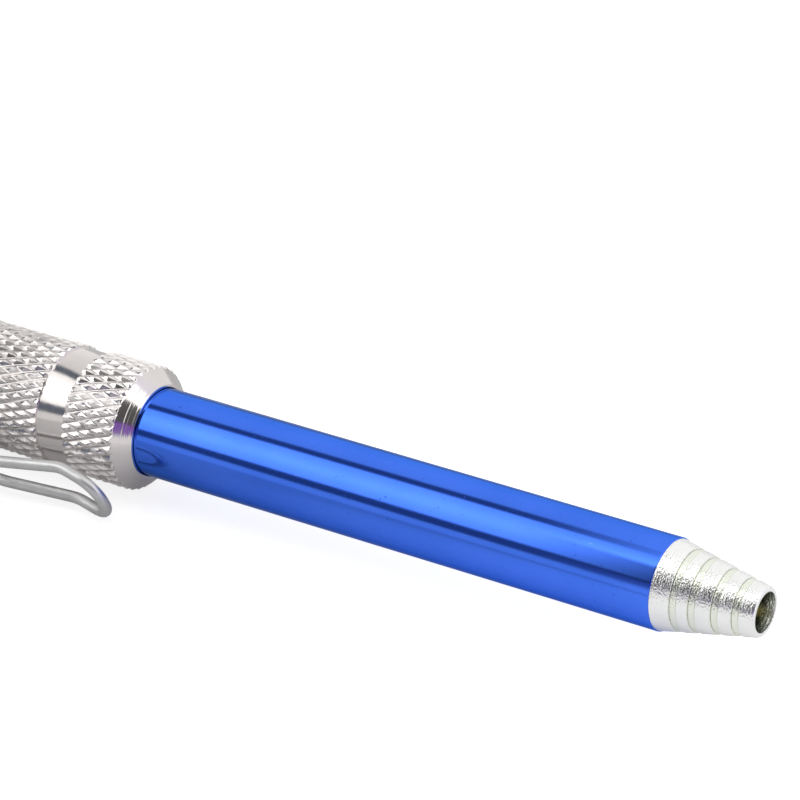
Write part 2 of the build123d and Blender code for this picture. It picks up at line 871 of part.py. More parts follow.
with BuildPart() as rear_guide_tube:
    pipe(
        at(tail_end - inlet_bush_length),
        at(feeder_rear - feeder_web),
        guide_tube_radius,
        filament_bore_radius,
        z=filament_height,
    )
save(rear_guide_tube, "rear_guide_tube")

with BuildPart() as motor_leads:
    for side in (-1, 1):
        lead_route = [
            (at(motor_rear - lead_end_inset), side * gear_motor_radius, shaft_height - lead_end_inset),
            (at(motor_rear - lead_end_inset), side * motor_lead_y, motor_lead_z),
            (at(motor_lead_rise_station + lead_inward_run), side * motor_lead_y, motor_lead_z),
            (at(motor_lead_rise_station), side * lead_rise_side, motor_lead_z),
            (at(motor_lead_rise_station), side * lead_rise_side, board_height),
        ]
        bent_tube(lead_route, lead_wire_radius, lead_bends)
save(motor_leads, "motor_leads")

with BuildPart() as power_leads:
    for side in (-1, 1):
        lead_route = [
            (at(plug_front - lead_end_inset), side * jack_radius, jack_height - lead_end_inset),
            (at(plug_front - lead_end_inset), side * power_lead_y, power_lead_z),
            (at(power_lead_rise_station + lead_inward_run), side * power_lead_y, power_lead_z),
            (at(power_lead_rise_station), side * lead_rise_side, power_lead_z),
            (at(power_lead_rise_station), side * lead_rise_side, board_height),
        ]
        bent_tube(lead_route, lead_wire_radius, lead_bends)
save(power_leads, "power_leads")

# ---- Tail sockets ----

with BuildPart() as power_jack:
    jack_rear = at(tail_end + jack_proud)
    rod(jack_rear, jack_rear + jack_length, jack_radius, z=jack_height)
    chamfer(power_jack.edges().group_by(Axis.X)[0], jack_edge)
    rod(jack_rear, jack_rear + jack_bore_length, jack_bore_radius, z=jack_height, mode=Mode.SUBTRACT)
save(power_jack, "power_jack")

with BuildPart() as inlet_bush:
    bush_end = at(tail_end + inlet_proud)
    turned(
        (bush_end, inlet_funnel_radius),
        (bush_end, inlet_bush_radius),
        (at(tail_end - inlet_bush_length), inlet_bush_radius),
        (at(tail_end - inlet_bush_length), inlet_bore_radius),
        (bush_end + inlet_funnel_length, inlet_bore_radius),
        z=filament_height,
    )
save(inlet_bush, "inlet_bush")
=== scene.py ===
"""Looks of a slim metal 3-D pen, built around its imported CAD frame.

The pen lies along X with its nose at the origin, pointing to +X. Lengths are millimetres until
they reach a mesh. A station is a distance behind the barrel's mouth, and an angle round the pen is
counted from +Y towards +Z.
"""

import json
import math

import bmesh
import bpy
import numpy as np
from mathutils import Matrix, Vector


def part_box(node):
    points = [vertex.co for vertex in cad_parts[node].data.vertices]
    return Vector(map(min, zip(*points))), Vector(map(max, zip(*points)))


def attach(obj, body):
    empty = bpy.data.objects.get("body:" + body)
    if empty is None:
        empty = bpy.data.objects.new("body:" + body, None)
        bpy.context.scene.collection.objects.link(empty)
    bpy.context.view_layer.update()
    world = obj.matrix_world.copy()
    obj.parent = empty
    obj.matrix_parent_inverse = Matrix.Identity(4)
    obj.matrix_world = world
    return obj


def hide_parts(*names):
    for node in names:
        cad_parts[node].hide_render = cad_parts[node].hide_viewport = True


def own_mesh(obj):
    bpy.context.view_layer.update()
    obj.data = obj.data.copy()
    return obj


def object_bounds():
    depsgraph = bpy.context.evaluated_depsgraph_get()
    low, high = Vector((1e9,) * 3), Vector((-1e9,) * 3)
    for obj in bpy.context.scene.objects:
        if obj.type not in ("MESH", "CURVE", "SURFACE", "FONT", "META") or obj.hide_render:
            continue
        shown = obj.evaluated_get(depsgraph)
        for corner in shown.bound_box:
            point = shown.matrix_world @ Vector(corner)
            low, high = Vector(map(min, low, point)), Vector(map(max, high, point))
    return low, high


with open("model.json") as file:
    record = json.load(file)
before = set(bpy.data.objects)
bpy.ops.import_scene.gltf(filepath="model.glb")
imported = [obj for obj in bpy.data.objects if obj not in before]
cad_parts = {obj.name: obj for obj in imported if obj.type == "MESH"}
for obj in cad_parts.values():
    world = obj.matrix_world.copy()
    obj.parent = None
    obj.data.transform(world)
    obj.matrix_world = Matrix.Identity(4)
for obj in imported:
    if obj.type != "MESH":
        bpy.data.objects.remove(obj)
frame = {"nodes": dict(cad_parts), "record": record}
cad_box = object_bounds()

MM = 0.001


def in_mm(node):
    """A CAD node's lowest and highest corners in millimetres."""
    low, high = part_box(node)
    return low / MM, high / MM


# ---- Sizes from the frame ----

barrel_low, barrel_high = in_mm("barrel")
tube_low, tube_high = in_mm("outer_tube")
nose_low, nose_high = in_mm("nose_cone")
ring_low, ring_high = in_mm("tail_ring")
bezel_low, bezel_high = in_mm("button_bezel")
clip_band_low, clip_band_high = in_mm("clip_band")
spring_low, spring_high = in_mm("sleeve_spring")

mouth_x = barrel_high.x
barrel_rear = barrel_low.x
barrel_radius = -barrel_low.z
tube_radius = tube_high.z
nose_base_radius = nose_high.z
nose_base_x = tube_high.x
nose_rear = nose_low.x
floor_z = cad_box[0].z / MM

# ---- Sizes of the looks ----

tiny = 1e-6
row_step = 0.05

# Turned profile of the barrel. The rim is the thin inner edge that the tube slides through.
bore_radius = 6.1
rim_radius = 5.06
rim_width = 0.3
bevel_length = 1.9
lip_length = 3.0
lip_rounding = 0.05
band_front, band_rear = 8.35, 12.05
band_depth = 0.42
band_slope = 0.12
band_fillet = 0.06
band_fillet_run, band_fillet_rise = 0.02, 0.02
thread_length = 4.5
thread_radius = 6.6
clip_seat_depth = 0.3
smooth_gap, smooth_step = 0.02, 2.5
tool_mark = 0.006
tool_lines = (41, 67)
slot_gap = 0.03
slot_bottom = 3.0
slot_headroom = 2

# Knurl: two families of crossing grooves. Floor and crest are where a groove's side starts and
# ends, in halves of the spacing, and the uneven depths follow a slow and a quick wave. Only points
# outside the bore by outer_margin are cut, or by ring_margin on the tail ring.
knurl_grooves = 38
knurl_pitch = 3.0
knurl_depths = (0.24, 0.30)
knurl_floor = 0.13
knurl_crest = 0.97
knurl_steps = 12
knurl_columns = knurl_grooves * knurl_steps
knurl_uneven = (0.05, 0.03)
outer_margin, ring_margin = 0.5, 0.7
facet_edge = 14
knurl_pit_station, knurl_pit_angle = 4.88, 100.75
knurl_front = 0.3
knurl_rear = 25.0
knurl_clear = 0.2
waist_depth = 0.14
waist_start, waist_end, waist_rear = 5.0, 8.0, 34.0
fresh_cut = 0.05

# Tail ring
ring_gap = 0.02
ring_bore_step = 0.48
ring_flange = 3.0
ring_edge = 0.5
ring_rounding = 1.2
ring_knurl_end = 1.8

# Nose. A notch is the thin line that the tool left along each edge of a groove; nose_metal paints
# it dark as painted shade.
nose_tip_radius = 2.68
nose_mouth_radius = 2.1
nose_wall = 1.1
nose_land = 2.4
nose_spigot_radius = 4.4
mouth_break = 0.08
tip_face, tip_edge, tip_end = 0.2, 0.06, 0.22
nose_shoulder = 0.35
nose_rounding = 0.05
nose_columns = 240
groove_centres = (-1.95, -4.08, -6.44, -8.37)
groove_width = 0.8
groove_depth = 0.13
groove_notch = 0.07
notch_middle, notch_width = 0.04, 0.12
groove_mark_front = -0.5
chatter_depth = 0.012
chatter_rear, chatter_front = 0.2, -0.3

# Blue tube
tube_rounding = 0.12
tube_columns = 256

# Return spring
spring_wire_radius = 0.35
spring_turns = 5
spring_closing = 0.08
spring_steps = 48
spring_sides = 12

# Camera and light
camera_place = (158.75, -284.08, 230.07)
camera_azimuth, camera_elevation, camera_roll = 35.35, 31.9, -4.74
camera_lens = 177.3
sensor_width = 36.0
floor_half = 3000.0
floor_gap = 0.02
floor_fade = (-80.0, -30.0)
brightest = 4.0


def at(station):
    """X of a station behind the barrel's mouth."""
    return mouth_x - station


# ---- Mesh helpers ----

# A rounded corner has corner_steps pieces and takes at most corner_share of each side. It is left
# alone where the cosine between its sides is below straight_on. in_plane is how far from flat, in
# millimetres, a four-sided face may be. Each ripple wave is its number round the pen and its size.
corner_steps = 3
corner_share = 0.45
straight_on = -0.98
in_plane = 1e-9
ripple_waves = ((3, 0.5), (7, 0.3), (16, 0.2), (41, 0.15))


def eased(outline, size):
    """The closed outline with each corner rounded off by about size."""
    points = [Vector(p) for p in outline]
    result = []
    for i, corner in enumerate(points):
        before, after = points[i - 1] - corner, points[(i + 1) % len(points)] - corner
        if before.length < tiny or after.length < tiny:
            continue
        if before.normalized().dot(after.normalized()) < straight_on:
            result.append(tuple(corner))
            continue
        reach = min(size, before.length * corner_share, after.length * corner_share)
        start, end = corner + before.normalized() * reach, corner + after.normalized() * reach
        for k in range(corner_steps + 1):
            t = k / corner_steps
            result.append(tuple(start * (1 - t) ** 2 + corner * 2 * t * (1 - t) + end * t * t))
    return result


def turned(name, outline, columns, relief=None, first_angle=0.0, sharp=30, marks=None):
    """A closed turned solid: (x, radius) points spun about X.

    relief(x, angle, radius) gives each vertex its own radius, and the depth that it cuts is kept in
    the attribute groove. marks are further attributes, each from a function of x and radius.
    A face whose corners don't lie in one plane is split along its ridge.
    """
    x, radius = (np.array(v, float) for v in zip(*outline))
    angle = math.radians(first_angle) + np.arange(columns) * 2 * math.pi / columns
    grid_x, grid_angle = np.meshgrid(x, angle, indexing="ij")
    plain = np.repeat(radius[:, None], columns, axis=1)
    grid_r = relief(grid_x, grid_angle, plain) if relief else plain
    points = np.stack([grid_x, grid_r * np.cos(grid_angle), grid_r * np.sin(grid_angle)], axis=-1)
    index = np.arange(grid_r.size).reshape(grid_r.shape)
    a, b = index, np.roll(index, -1, axis=0)
    c, d = np.roll(b, -1, axis=1), np.roll(a, -1, axis=1)
    flat = grid_r.ravel()
    tilt = (flat[a] + flat[c]) - (flat[b] + flat[d])
    faces = [tuple(q) for q in np.stack([a, b, c, d], -1)[np.abs(tilt) < in_plane].tolist()]
    low = tilt <= -in_plane
    faces += np.stack([a, b, c], -1)[low].tolist() + np.stack([a, c, d], -1)[low].tolist()
    high = tilt >= in_plane
    faces += np.stack([a, b, d], -1)[high].tolist() + np.stack([b, c, d], -1)[high].tolist()
    mesh = bpy.data.meshes.new(name)
    mesh.from_pydata((points.reshape(-1, 3) * MM).tolist(), [], faces)
    kept = {"groove": plain - grid_r}
    kept |= {key: value(grid_x, plain) for key, value in (marks or {}).items()}
    for key, values in kept.items():
        attribute = mesh.attributes.new(key, "FLOAT", "POINT")
        attribute.data.foreach_set("value", values.ravel().astype(np.float32))
    return linked(name, mesh, sharp)


def linked(name, mesh, sharp=30):
    """An object of this mesh in the scene, with its faces turned outwards and shaded smooth."""
    shape = bmesh.new()
    shape.from_mesh(mesh)
    bmesh.ops.recalc_face_normals(shape, faces=shape.faces)
    shape.to_mesh(mesh)
    shape.free()
    mesh.polygons.foreach_set("use_smooth", [True] * len(mesh.polygons))
    mesh.set_sharp_from_angle(angle=math.radians(sharp))
    made = bpy.data.objects.new(name, mesh)
    bpy.context.scene.collection.objects.link(made)
    return made


def steps_between(first, last, step):
    """Evenly spaced numbers from first to last, both included."""
    count = max(1, round(abs(last - first) / step))
    return [first + (last - first) * i / count for i in range(count + 1)]


def cut_away(piece, cutter, sharp):
    """Takes the cutter's space out of the piece for good, with the new edges sharp."""
    cut = piece.modifiers.new("cut", "BOOLEAN")
    cut.object, cut.operation, cut.solver = cutter, "DIFFERENCE", "EXACT"
    shape = piece.evaluated_get(bpy.context.evaluated_depsgraph_get())
    mesh = bpy.data.meshes.new_from_object(shape)
    mesh.set_sharp_from_angle(angle=math.radians(sharp))
    piece.modifiers.clear()
    piece.data = mesh
    bpy.data.objects.remove(cutter)


def ripple(angle, seed):
    """A small uneven wave round the pen, between about -1 and 1."""
    waves = enumerate(ripple_waves)
    return sum(size * np.sin(count * angle + seed * (k + 1.7)) for k, (count, size) in waves)


# ---- Materials ----


def node(tree, kind, inputs=None, **settings):
    """A node with its settings, and its inputs linked or set."""
    made = tree.nodes.new(kind)
    for key, value in settings.items():
        setattr(made, key, value)
    for key, value in (inputs or {}).items():
        if isinstance(value, bpy.types.NodeSocket):
            tree.links.new(value, made.inputs[key])
        else:
            made.inputs[key].default_value = value
    return made


class Look:
    """A procedural material: patterns are added one at a time, then painted."""

    def __init__(self, name, metallic=0.0, **constants):
        self.material = bpy.data.materials.new(name)
        self.material.use_nodes = True
        self.tree = self.material.node_tree
        self.shader = self.tree.nodes["Principled BSDF"]
        self.shader.inputs["Metallic"].default_value = metallic
        for key, value in constants.items():
            self.shader.inputs[key.replace("_", " ").title()].default_value = value
        self.place = node(self.tree, "ShaderNodeTexCoord").outputs["Object"]

    def noise(self, scale, detail=3.0, stretch=(1, 1, 1), distortion=0.0, roughness=0.5):
        """Noise from 0 to 1. scale is features per millimetre, stretch makes streaks."""
        spread = [s * scale / MM for s in stretch]
        vector = node(self.tree, "ShaderNodeMapping", {"Vector": self.place, "Scale": spread})
        inputs = {"Vector": vector.outputs["Vector"], "Scale": 1.0, "Detail": detail}
        inputs |= {"Distortion": distortion, "Roughness": roughness}
        return node(self.tree, "ShaderNodeTexNoise", inputs).outputs["Fac"]

    def spread(self, value, low, high, start=0.0, end=1.0):
        """The value's range from low to high, moved to start and end."""
        inputs = {"Value": value, "From Min": low, "From Max": high, "To Min": start, "To Max": end}
        return node(self.tree, "ShaderNodeMapRange", inputs).outputs["Result"]

    def combine(self, how, first, second):
        """Two values added, taken away or multiplied."""
        return node(self.tree, "ShaderNodeMath", {0: first, 1: second}, operation=how).outputs[0]

    def attribute(self, name):
        """A number that the mesh keeps at each vertex."""
        return node(self.tree, "ShaderNodeAttribute", attribute_name=name).outputs["Fac"]

    def groove(self, depth):
        """How deep a point lies in the mesh's own grooves, from 0 to 1."""
        return self.spread(self.attribute("groove"), 0.0, depth)

    def mix(self, amount, first, second):
        """One colour over another."""
        inputs = {0: amount, 6: first, 7: second}
        return node(self.tree, "ShaderNodeMix", inputs, data_type="RGBA").outputs[2]

    def paint(self, colour, roughness, height=None, relief=0.01, strength=1.0):
        """Joins the patterns to the shader. relief is the height's depth in millimetres."""
        links = self.tree.links
        links.new(colour, self.shader.inputs["Base Color"])
        links.new(roughness, self.shader.inputs["Roughness"])
        if height is not None:
            inputs = {"Height": height, "Distance": relief * MM, "Strength": strength}
            bump = node(self.tree, "ShaderNodeBump", inputs)
            links.new(bump.outputs["Normal"], self.shader.inputs["Normal"])
        return self.material


def shade(colour, factor=1.0):
    """An RGBA colour, lighter or darker by the factor."""
    return (*(c * factor for c in colour), 1.0)


def nose_metal():
    """Satin turned aluminium with a greenish tint in its grooves, painted shade in the notches and
    the bore, and mottled tool chatter.
    """
    look = Look("nose_metal", metallic=1.0)
    rings = look.noise(5.0, detail=2, stretch=(1, 0.12, 0.12))
    mottle = look.noise(4.2, detail=2, stretch=(1.4, 0.9, 0.9))
    stain = look.spread(look.noise(0.35, detail=3), 0.4, 0.65)
    metal = look.mix(stain, shade((0.94, 0.945, 0.925)), shade((0.90, 0.905, 0.885)))
    tinted = look.mix(look.groove(groove_depth), metal, shade((0.86, 0.885, 0.79)))
    cut = look.attribute("groove")
    # The notches along the grooves' edges are painted dark: painted shade in the creases.
    notch_shade_mask = look.spread(cut, groove_depth + 0.01, groove_depth + groove_notch)
    with_notch_shade = look.mix(notch_shade_mask, tinted, shade((0.34, 0.36, 0.29)))
    # Inside the bore the metal is painted a darker olive: painted shade.
    inside = look.attribute("inside")
    bore = look.mix(inside, with_notch_shade, shade((0.72, 0.78, 0.58)))
    marks = look.combine("ADD", look.combine("MULTIPLY", rings, 0.7), mottle)
    height = look.combine("MULTIPLY", marks, look.spread(inside, 0.0, 1.0, 1.0, 0.1))
    return look.paint(bore, look.spread(mottle, 0.3, 0.7, 0.10, 0.20), height, 0.07, 1.0)


def blue_anodised():
    """Bright dyed aluminium with fine pits, specks and a few hairline scratches."""
    look = Look("blue_anodised", metallic=1.0, coat_weight=0.08, coat_roughness=0.06)
    look.shader.inputs["Specular Tint"].default_value = (0.42, 0.55, 0.72, 1)
    cloud = look.noise(0.12, detail=4)
    pits = look.spread(look.noise(2.6, detail=2), 0.70, 0.75)
    hairs = look.noise(3.0, detail=2, stretch=(0.15, 1, 1), distortion=0.4)
    scratches = look.spread(hairs, 0.72, 0.75)
    fresh, faded = shade((0.066, 0.198, 0.95)), shade((0.058, 0.182, 0.90))
    deep = look.mix(look.spread(cloud, 0.35, 0.65), fresh, faded)
    marked = look.mix(look.combine("MULTIPLY", scratches, 0.4), deep, shade((0.16, 0.32, 0.97)))
    worn = look.mix(look.combine("MULTIPLY", pits, 0.7), marked, shade((0.010, 0.06, 0.45)))
    grain = look.noise(9.0, detail=2, stretch=(0.25, 1, 1))
    dulled = look.combine("MULTIPLY", pits, 0.2)
    rough = look.combine("ADD", look.spread(grain, 0.3, 0.7, 0.09, 0.14), dulled)
    height = look.combine("SUBTRACT", look.combine("MULTIPLY", grain, 0.15), pits)
    return look.paint(worn, rough, height, 0.004, 0.5)


def barrel_metal():
    """Bright turned and knurled metal: tool rings, dulled grooves with painted shade deep in them,
    fine scratches.
    """
    look = Look("barrel_metal", metallic=1.0)
    rings = look.noise(6.0, detail=2, stretch=(1, 0.04, 0.04))
    scuff = look.noise(1.3, detail=5, roughness=0.65)
    cloud = look.spread(look.noise(0.2), 0.35, 0.65)
    warm = look.mix(cloud, shade((0.76, 0.72, 0.70)), shade((0.70, 0.66, 0.645)))
    cut = look.mix(look.groove(fresh_cut), warm, shade((0.97, 0.93, 0.91)))
    # Deep in the knurl's grooves the colour is darkened, unevenly by the scuff noise: painted
    # shade. The same mask dulls the gloss there.
    pits = look.spread(look.attribute("groove"), knurl_depths[1] * 0.5, knurl_depths[1])
    pit_shade_mask = look.combine("MULTIPLY", pits, look.spread(scuff, 0.3, 0.7, 0.5, 1.0))
    with_pit_shade = look.mix(pit_shade_mask, cut, shade((0.48, 0.45, 0.44)))
    dulled = look.combine("MULTIPLY", pit_shade_mask, 0.08)
    rough = look.combine("ADD", look.spread(scuff, 0.3, 0.75, 0.08, 0.17), dulled)
    scratched = look.combine("MULTIPLY", scuff, 0.8)
    height = look.combine("ADD", look.combine("MULTIPLY", rings, 0.6), scratched)
    return look.paint(with_pit_shade, rough, height, 0.01, 0.6)


def clip_steel():
    """Satin spring wire with drawing lines along it."""
    look = Look("clip_steel", metallic=1.0)
    lines = look.noise(6.0, detail=3, stretch=(0.06, 1, 1))
    cloud = look.noise(0.5, detail=4)
    bright, dull = shade((0.69, 0.69, 0.685)), shade((0.61, 0.61, 0.605))
    steel = look.mix(look.spread(cloud, 0.35, 0.65), bright, dull)
    return look.paint(steel, look.spread(lines, 0.3, 0.7, 0.38, 0.5), lines, 0.008, 0.6)


def metal(name, colour, roughness, stretch=(1, 0.05, 0.05)):
    """A plainer worked metal: tool lines, slight stains and uneven gloss."""
    look = Look(name, metallic=1.0)
    lines = look.noise(5.0, detail=3, stretch=stretch)
    stain = look.noise(0.6, detail=4)
    mixed = look.mix(look.spread(stain, 0.35, 0.7), shade(colour), shade(colour, 0.8))
    rough = look.spread(lines, 0.3, 0.7, roughness - 0.05, roughness + 0.08)
    return look.paint(mixed, rough, lines, 0.006, 0.6)


def plastic(name, colour, roughness, grain=6.0, relief=0.01):
    """Moulded plastic, rubber or glaze: fine grain, slight clouding and rubbed gloss."""
    look = Look(name)
    fine = look.noise(grain, detail=3)
    cloud = look.noise(0.3, detail=4)
    mixed = look.mix(look.spread(cloud, 0.35, 0.7), shade(colour), shade(colour, 0.75))
    rubbed = look.spread(cloud, 0.3, 0.7, -0.04, 0.05)
    grained = look.spread(fine, 0.3, 0.7, roughness - 0.04, roughness + 0.06)
    rough = look.combine("ADD", rubbed, grained)
    return look.paint(mixed, rough, fine, relief, 0.6)


looks = {
    "nose_metal": nose_metal(),
    "blue_anodised": blue_anodised(),
    "barrel_metal": barrel_metal(),
    "clip_steel": clip_steel(),
    "spring_steel": metal("spring_steel", (0.66, 0.66, 0.66), 0.28),
    "stainless": metal("stainless", (0.70, 0.70, 0.69), 0.22),
    "brass": metal("brass", (0.78, 0.58, 0.26), 0.25),
    "screw_steel": metal("screw_steel", (0.45, 0.45, 0.46), 0.3, stretch=(1, 1, 0.1)),
    "hardened_steel": metal("hardened_steel", (0.50, 0.50, 0.52), 0.2),
    "motor_steel": metal("motor_steel", (0.66, 0.66, 0.67), 0.3),
    "switch_metal": metal("switch_metal", (0.60, 0.60, 0.60), 0.3, stretch=(0.05, 1, 1)),
    "ceramic": plastic("ceramic", (0.88, 0.86, 0.82), 0.55, grain=4.0),
    "ptfe": plastic("ptfe", (0.88, 0.88, 0.86), 0.4),
    "amber_film": plastic("amber_film", (0.62, 0.28, 0.05), 0.25, grain=2.0),
    "bead_glass": plastic("bead_glass", (0.55, 0.12, 0.05), 0.12, grain=2.0),
    "lead_insulation": plastic("lead_insulation", (0.50, 0.04, 0.03), 0.45),
    "chassis_plastic": plastic("chassis_plastic", (0.09, 0.09, 0.10), 0.45),
    "board_green": plastic("board_green", (0.02, 0.17, 0.07), 0.35, grain=3.0),
    "chip_black": plastic("chip_black", (0.025, 0.025, 0.027), 0.5),
    "led_clear": plastic("led_clear", (0.72, 0.80, 0.74), 0.1, grain=2.0, relief=0.003),
    "bezel_black": plastic("bezel_black", (0.022, 0.022, 0.025), 0.22, relief=0.005),
    "button_grey": plastic("button_grey", (0.42, 0.42, 0.43), 0.42),
    "tail_black": plastic("tail_black", (0.045, 0.045, 0.05), 0.42),
    "jack_black": plastic("jack_black", (0.025, 0.025, 0.028), 0.3),
}

slot_of = {part["node"]: part["material_slot"] for part in frame["record"]["subparts"]}
for name, shown in frame["nodes"].items():
    shown.data.materials.clear()
    shown.data.materials.append(looks[slot_of[name]])


def dress(piece, body, node_name):
    """The piece stands for the CAD node, on its body, in the node's own finish."""
    piece.data.materials.clear()
    piece.data.materials.append(looks[slot_of[node_name]])
    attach(piece, body)
    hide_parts(node_name)


# ---- Knurl ----


def knurl_cut(x, angle):
    """Depth of the crossing grooves: each diamond between them is a four-sided pyramid."""
    along = (at(knurl_pit_station) - x) / knurl_pitch
    around = (angle - math.radians(knurl_pit_angle)) * knurl_grooves / (2 * math.pi)
    first, second = along + around, along - around
    families = ((first, second, knurl_depths[0]), (second, first, knurl_depths[1]))
    slow, quick = knurl_uneven
    cut = np.zeros_like(along)
    for family, other, depth in families:
        ridge = 2 * np.abs(family - np.round(family))
        slope = np.clip((ridge - knurl_floor) / (knurl_crest - knurl_floor), 0, 1)
        uneven = 1 + slow * np.sin(family.round() * 2.4) + quick * np.sin(other * 1.7)
        cut = np.maximum(cut, depth * uneven * (1 - slope))
    return cut


def knurl_rows(front_station, rear_station):
    """Stations of a knurled zone's rows, in step with the diamonds and clear of the zone's ends."""
    step = knurl_pitch / knurl_steps
    first = math.ceil((front_station - knurl_pit_station) / step + knurl_clear)
    last = math.floor((rear_station - knurl_pit_station) / step - knurl_clear)
    inner = [knurl_pit_station + i * step for i in range(first, last + 1)]
    return [front_station, *inner, rear_station]


def barrel_relief(x, angle, radius):
    """The bevel's tool lines, the knurl on both sides of the plain band, and a slight waist."""
    station = mouth_x - x
    on_bevel = (station > row_step) & (station < bevel_length) & (radius > rim_radius + rim_width)
    coarse, fine = tool_lines
    lines = np.sin(station * coarse) + 0.7 * np.sin(station * fine + 1) + 0.3 * ripple(angle, 2.0)
    radius = np.where(on_bevel, radius + tool_mark * lines, radius)
    narrowing = np.clip((station - band_rear) / waist_start, 0, 1)
    widening = np.clip((waist_rear - station) / waist_end, 0, 1)
    crest = barrel_radius - waist_depth * narrowing * widening
    front = (station > knurl_front) & (station <= band_front + tiny)
    rear = (station >= band_rear - tiny) & (station <= knurl_rear + tiny)
    knurled = np.minimum(radius, crest - knurl_cut(x, angle))
    outer = radius > bore_radius + outer_margin
    result = np.where(outer & (station > band_rear - tiny), np.minimum(radius, crest), radius)
    return np.where(outer & (front | rear), np.minimum(result, knurled), result)


def make_barrel():
    """The barrel as one turned and knurled shell, with the slot for the key bezel cut through."""
    band_radius = barrel_radius - band_depth
    seat_radius = barrel_radius - clip_seat_depth
    seat_front, seat_rear = mouth_x - clip_band_high.x, mouth_x - clip_band_low.x
    bevel_start, bevel_rise = rim_radius + rim_width, barrel_radius - rim_radius - rim_width
    bevel = [
        (at(s), bevel_start + bevel_rise * s / bevel_length)
        for s in steps_between(0.0, bevel_length, row_step)
    ]
    lip = [(at(lip_length), rim_radius), (at(0), rim_radius), bevel[0], bevel[1]]
    last_corner = corner_steps + 1
    outline = eased(lip, lip_rounding)[:-last_corner] + bevel[1:]
    outline += [(at(s), barrel_radius) for s in knurl_rows(bevel_length, band_front)[1:]]
    outline += [
        (at(band_front), band_radius + band_fillet),
        (at(band_front + band_fillet_run), band_radius + band_fillet_rise),
        (at(band_front + band_slope), band_radius),
        (at((band_front + band_rear) / 2), band_radius),
        (at(band_rear - band_slope), band_radius),
        (at(band_rear - band_fillet_run), band_radius + band_fillet_rise),
        (at(band_rear), band_radius + band_fillet),
    ]
    outline += [(at(s), barrel_radius) for s in knurl_rows(band_rear, knurl_rear)]
    smooth = steps_between(knurl_rear + smooth_gap, seat_front, smooth_step)
    outline += [(at(s), barrel_radius) for s in smooth]
    outline += [
        (at(seat_front), seat_radius),
        (at(seat_rear), seat_radius),
        (at(seat_rear), barrel_radius),
        (barrel_rear + thread_length, barrel_radius),
        (barrel_rear + thread_length, thread_radius),
        (barrel_rear, thread_radius),
        (barrel_rear, bore_radius),
        (at(lip_length), bore_radius),
    ]
    relief, first_angle = barrel_relief, knurl_pit_angle
    shell = turned("barrel_shell", outline, knurl_columns, relief, first_angle, facet_edge)
    cut_away(shell, slot_cutter(), facet_edge)
    return shell


def slot_cutter():
    """A round-ended bar through the top of the barrel, a hair larger than the key bezel."""
    half = bezel_high.y + slot_gap
    ends = (bezel_low.x - slot_gap + half, bezel_high.x + slot_gap - half)
    arc = [math.radians(a) for a in range(-90, 91, 10)]
    rim = [(ends[1] + half * math.cos(a), half * math.sin(a)) for a in arc]
    rim += [(ends[0] - half * math.cos(a), -half * math.sin(a)) for a in arc]
    heights = (slot_bottom, barrel_radius + slot_headroom)
    points = [Vector((x, y, z)) * MM for z in heights for x, y in rim]
    count = len(rim)
    faces = [(i, (i + 1) % count, (i + 1) % count + count, i + count) for i in range(count)]
    faces += [tuple(range(count)), tuple(range(count, 2 * count))]
    mesh = bpy.data.meshes.new("slot")
    mesh.from_pydata(points, [], faces)
    return linked("slot", mesh)


def make_tail_ring():
    """The knurled screw ring round the tail."""
    front, rear = mouth_x - ring_high.x, mouth_x - ring_low.x
    bore = thread_radius + ring_gap
    inner = bore_radius - ring_bore_step
    flange = rear - ring_flange
    knurl_start, knurl_end = front + ring_edge, rear - ring_knurl_end
    turn = ring_rounding
    outline = [(at(front), bore), (at(front), barrel_radius - ring_edge)]
    outline += [(at(s), barrel_radius) for s in knurl_rows(knurl_start, knurl_end)]
    outline += [
        (at(rear - turn + turn * math.sin(a)), barrel_radius - turn + turn * math.cos(a))
        for a in (math.radians(a) for a in range(0, 91, 10))
    ]
    outline += [(at(rear), inner), (at(flange), inner), (at(flange), bore)]

    def relief(x, angle, radius):
        station = mouth_x - x
        zone = (station > front) & (station < knurl_end + row_step)
        outer = radius > bore_radius + ring_margin
        knurled = np.minimum(radius, barrel_radius - knurl_cut(x, angle))
        return np.where(outer & zone, knurled, radius)

    name = "tail_ring_knurled"
    return turned(name, outline, knurl_columns, relief, knurl_pit_angle, facet_edge)


dress(make_barrel(), "body", "barrel")
dress(make_tail_ring(), "body", "tail_ring")

# ---- Nose and tube ----


def taper(x):
    """Outside radius of the nose's plain taper at x."""
    return nose_tip_radius + (nose_base_radius - nose_tip_radius) * x / nose_base_x


